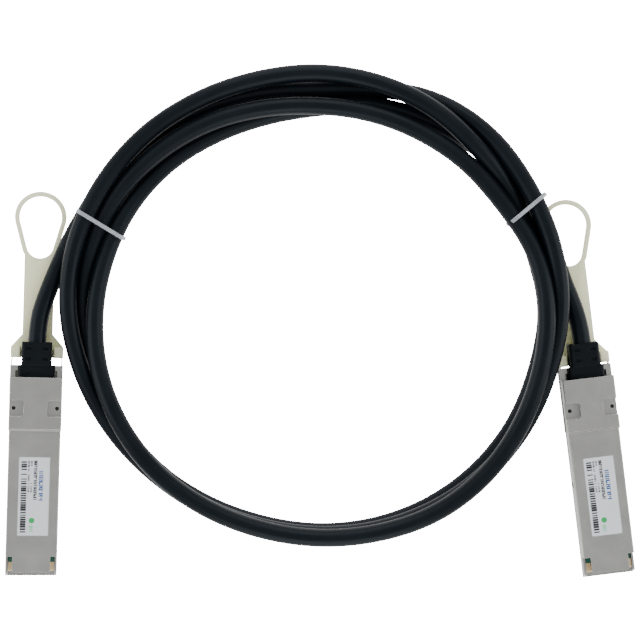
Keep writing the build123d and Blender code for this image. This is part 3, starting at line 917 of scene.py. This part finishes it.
@dataclass
class Cable:
    """The black cable from the left connector through the ring to the right one. Millimetres.

    left_exit and right_exit are the control points between a boot and the ring. angle_step is the
    turn from one control point of the ring to the next, in degrees. round_steps and run_steps
    are how finely the mesh follows the cable's roundness and its run.
    """

    diameter: float = 6.4
    length: float = 1844.0
    ring_centre: tuple[float, float] = (-0.7, 28.3)
    angle_step: float = 15.0
    round_steps: int = 8
    run_steps: int = 10
    left_exit: tuple[tuple[float, float, float], ...] = (
        (-101.68, 16.06, 6.94),
        (-101.57, 19.4, 6.94),
        (-100.75, 26.0, 6.5),
        (-98.3, 33.6, 5.7),
        (-95.2, 41.4, 4.8),
        (-91.6, 50.3, 3.8),
        (-86.9, 59.4, 3.3),
    )
    right_exit: tuple[tuple[float, float, float], ...] = (
        (85.7, 44.4, 4.9),
        (87.9, 37.7, 5.0),
        (90.4, 31.7, 5.1),
        (92.6, 25.6, 5.3),
        (94.05, 19.3, 5.4),
        (94.49, 15.67, 5.4),
    )
    # Under the second turn on the far side, up over the right tab, and in the middle of the stack
    first_turn: Turn = Turn(
        -60.0,
        (
            (89.0, 3.7), (86.9, 3.4), (83.4, 3.3), (80.6, 3.3), (78.6, 3.3), (82.0, 3.3),
            (86.5, 4.2), (87.4, 8.4), (86.5, 10.2), (86.7, 11.2), (86.8, 10.9), (85.5, 9.8),
            (85.1, 9.1), (84.2, 9.3), (83.1, 9.5), (82.0, 9.5), (81.1, 9.5), (80.9, 9.5),
            (81.8, 9.6), (83.2, 9.7),
        ),
    )
    # Outermost on the left, over the first turn on the far side, then down to the table
    second_turn: Turn = Turn(
        240.0,
        (
            (85.4, 9.3), (87.6, 8.8), (89.8, 9.0), (89.9, 10.1), (88.8, 10.2), (87.6, 9.9),
            (85.8, 9.8), (84.4, 9.8), (84.1, 9.8), (83.3, 9.9), (82.4, 10.2), (80.6, 10.6),
            (81.0, 5.5), (80.3, 3.4), (82.8, 3.3), (82.0, 3.2), (82.5, 3.2), (82.4, 3.2),
            (82.0, 3.2), (81.4, 3.2), (80.9, 3.2), (80.5, 3.2), (81.4, 3.2), (82.9, 3.2),
        ),
    )
    # Beneath on the left, innermost on the far side, and on top of the stack
    third_turn: Turn = Turn(
        600.0,
        (
            (83.8, 3.2), (84.2, 3.2), (85.2, 3.4), (84.6, 6.2), (83.0, 7.4), (79.7, 9.2),
            (76.8, 9.7), (73.9, 9.7), (72.1, 9.7), (72.1, 9.7), (72.7, 9.7), (74.2, 9.8),
            (75.5, 10.15), (80.0, 10.8), (81.3, 14.3), (81.8, 15.6), (82.9, 15.5), (83.8, 15.7),
            (83.8, 15.8), (82.3, 15.9), (81.3, 15.9), (80.8, 15.9), (81.1, 16.0), (81.6, 16.0),
        ),
    )
    # Down inside the left tie, then out beneath the others to the right connector
    last_turn: Turn = Turn(
        960.0,
        (
            (81.5, 15.0), (81.2, 11.2), (79.8, 9.2), (78.3, 6.5), (77.1, 3.9), (75.1, 3.3),
            (72.7, 3.3), (71.6, 3.3), (72.2, 3.3), (76.0, 3.3), (78.6, 3.3), (81.6, 3.3),
            (88.0, 3.5), (86.1, 4.7),
        ),
    )

    def ring_points(self) -> list[tuple[float, float, float]]:
        """Works out the control points of the ring's turns.

        Returns:
            The points, a little outside the radii, so that the spline meets them.
        """
        points = []
        outward = 1.0 / math.cos(math.radians(self.angle_step / 2))
        for turn in (self.first_turn, self.second_turn, self.third_turn, self.last_turn):
            for number, (reach, height) in enumerate(turn.strands):
                angle = math.radians(turn.start + number * self.angle_step)
                across = self.ring_centre[0] + reach * outward * math.sin(angle)
                along = self.ring_centre[1] + reach * outward * math.cos(angle)
                points.append((across, along, height))
        return points

    def build(self, palette: Palette, on_it: list[bpy.types.Object]) -> bpy.types.Object:
        """Makes the cable as one smooth spline.

        Args:
            palette: The finishes.
            on_it: The right connector's pieces and the ties; not used.

        Returns:
            The cable.
        """
        points = [*self.left_exit, *self.ring_points(), *self.right_exit]
        curve = bpy.data.curves.new("wound_cable", "CURVE")
        curve.dimensions = "3D"
        # The box of a curve grows by its points' radii, so they hold the cable's and the bevel is 1
        curve.bevel_depth = 1.0
        curve.bevel_resolution = self.round_steps
        curve.use_fill_caps = True
        curve.resolution_u = self.run_steps
        spline = curve.splines.new("NURBS")
        spline.points.add(len(points) - 1)
        for place, point in zip(spline.points, points):
            place.co = (*in_metres(point), 1.0)
            place.radius = self.diameter / 2 * MM
        spline.order_u = 3
        spline.use_endpoint_u = True
        cable = bpy.data.objects.new("wound_cable", curve)
        bpy.context.scene.collection.objects.link(cable)
        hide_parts("cable_coil", "cable_lead_a", "cable_lead_b")
        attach(cable, "plugs_and_cable")
        palette.dress(cable, "black_jacket")
        log.info("%s: %d control points", cable.name, len(points))
        return cable


# The connectors


@dataclass
class Connector:
    """One connector: where it lies, its finishes and the pieces that stand for soft solids.

    origin is the middle of its underside at its step. heading and roll are in degrees, about the
    vertical and about its long axis. The springs go from spring_rear along the connector to the
    slider's lugs, spring_length nearer to its nose; neither is used. label_place is the label's
    middle in the connector's own directions, and tab_round and boot_round round the edges of those
    pieces.
    All lengths are in millimetres.
    """

    side: Side
    origin: tuple[float, float, float]
    heading: float
    roll: float
    spring_length: float
    spring_rear: float = 4.38
    label_place: tuple[float, float, float] = (0.25, -23.5, 8.54)
    tab_round: float = 0.3
    boot_round: float = 0.25

    def axes(self) -> Matrix:
        """Turn from the connector's own directions to the scene's."""
        turn = Matrix.Rotation(math.radians(self.heading), 3, "Z")
        return turn @ Matrix.Rotation(math.radians(self.roll), 3, "Y")

    def node(self, name: str) -> str:
        """Full name of one of its nodes."""
        return f"{name}_{self.side.value}"

    def add_finishes(self, palette: Palette) -> None:
        """Makes the finishes whose patterns lie along the connector.

        Args:
            palette: The finishes.
        """
        turn = tuple(self.axes().to_euler("XYZ"))
        palette.add(
            PrintedLabel(
                slot="label_film",
                name=self.node("label_film"),
                color=(0.66, 0.70, 0.74),
                drift_color=(0.70, 0.735, 0.775),
                edge_color=(0.8, 0.82, 0.86),
                roughness=(0.32, 0.42),
                edge_radius=0.04,
                grain_strength=0.04,
                middle=tuple(Vector(self.origin) + self.axes() @ Vector(self.label_place)),
                turn=turn,
            )
        )
        palette.add(
            BoardFinish(
                slot="board",
                name=self.node("board"),
                color=(0.006, 0.075, 0.05),
                drift_color=(0.009, 0.10, 0.065),
                edge_color=(0.12, 0.25, 0.16),
                roughness=(0.3, 0.42),
                edge_radius=0.08,
                middle=self.origin,
                turn=turn,
            )
        )

    def build(self, palette: Palette) -> list[bpy.types.Object]:
        """Dresses the connector's nodes and builds its softened pieces.

        Args:
            palette: The finishes.

        Returns:
            Every piece of the connector that is shown.
        """
        release = f"release_{self.side.value}"
        self.add_finishes(palette)
        shown = []
        for name, finish in (
            ("top_shell", "nickel_shell"),
            ("bottom_shell", "nickel_shell"),
            ("release_slider", "steel_spring"),
            # The screws carry painted shade: near-black, so that their holes read as shaded
            ("shell_screws", "screw_hole_painted_shade"),
            ("paddle_card", self.node("board")),
            ("contact_pads", "gold_pads"),
            ("card_parts", "chips"),
            ("potting_block", "potting"),
            ("twinax_pairs", "pair_insulation"),
            ("crimp_ferrule", "ferrule_brass"),
            ("label", self.node("label_film")),
        ):
            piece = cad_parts[self.node(name)]
            palette.dress(piece, finish)
            shown.append(piece)
        tab = SoftenedCopy(self.node("pull_tab"), release, "beige_strap", self.tab_round)
        boot = SoftenedCopy(
            self.node("cable_boot"), "plugs_and_cable", "black_boot", self.boot_round
        )
        shown.append(tab.build(palette))
        shown.append(boot.build(palette))
        shown.append(self.build_springs(palette))
        log.info("connector %s: %d pieces", self.side.value, len(shown))
        return shown

    def build_springs(self, palette: Palette) -> bpy.types.Object:
        """Copies the springs into a new piece, with their place baked into the mesh.

        Args:
            palette: The finishes.

        Returns:
            The new piece, which stands for the node.
        """
        node = self.node("return_springs")
        springs = bpy.data.objects.new(f"live_{node}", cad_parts[node].data.copy())
        bpy.context.scene.collection.objects.link(springs)
        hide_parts(node)
        palette.dress(springs, "steel_spring")
        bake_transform(springs)
        return springs


@dataclass
class Ties:
    """The two nylon bands round the ring, pulled a little tighter than in the CAD.

    bands holds each one's node, the direction that it lies in, in degrees, and the share of its
    length that stays. width_share is the share of the width that stays.
    """

    edge_round: float = 0.15
    edge_segments: int = 2
    width_share: float = 0.74
    bands: tuple[tuple[str, float, float], ...] = (
        ("tie_a", -32.8, 0.92),
        ("tie_b", 38.5, 0.95),
    )

    def build(self, palette: Palette) -> list[bpy.types.Object]:
        """Builds both bands.

        Args:
            palette: The finishes.

        Returns:
            The two new pieces.
        """
        return [
            SoftenedCopy(
                node,
                "plugs_and_cable",
                "nylon_tie",
                self.edge_round,
                segments=self.edge_segments,
                heading=heading,
                slimming=(length_share, self.width_share),
            ).build(palette)
            for node, heading, length_share in self.bands
        ]


def main() -> None:
    """Builds the studio, the connectors, the ties and the cable."""
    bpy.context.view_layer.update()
    Studio().build()
    palette = Palette(Effects())
    palette.fill()
    left = Connector(
        Side.LEFT,
        origin=(-103.5, -15.6, 1.6236),
        heading=-1.6,
        roll=10.0,
        spring_length=6.6,
    )
    right = Connector(
        Side.RIGHT,
        origin=(98.3, -15.8, 0.0),
        heading=6.9,
        roll=0.0,
        spring_length=8.7,
    )
    left.build(palette)
    on_cable = right.build(palette) + Ties().build(palette)
    Cable().build(palette, on_cable)
    bpy.context.view_layer.update()


if __name__ == "__main__":
    main()
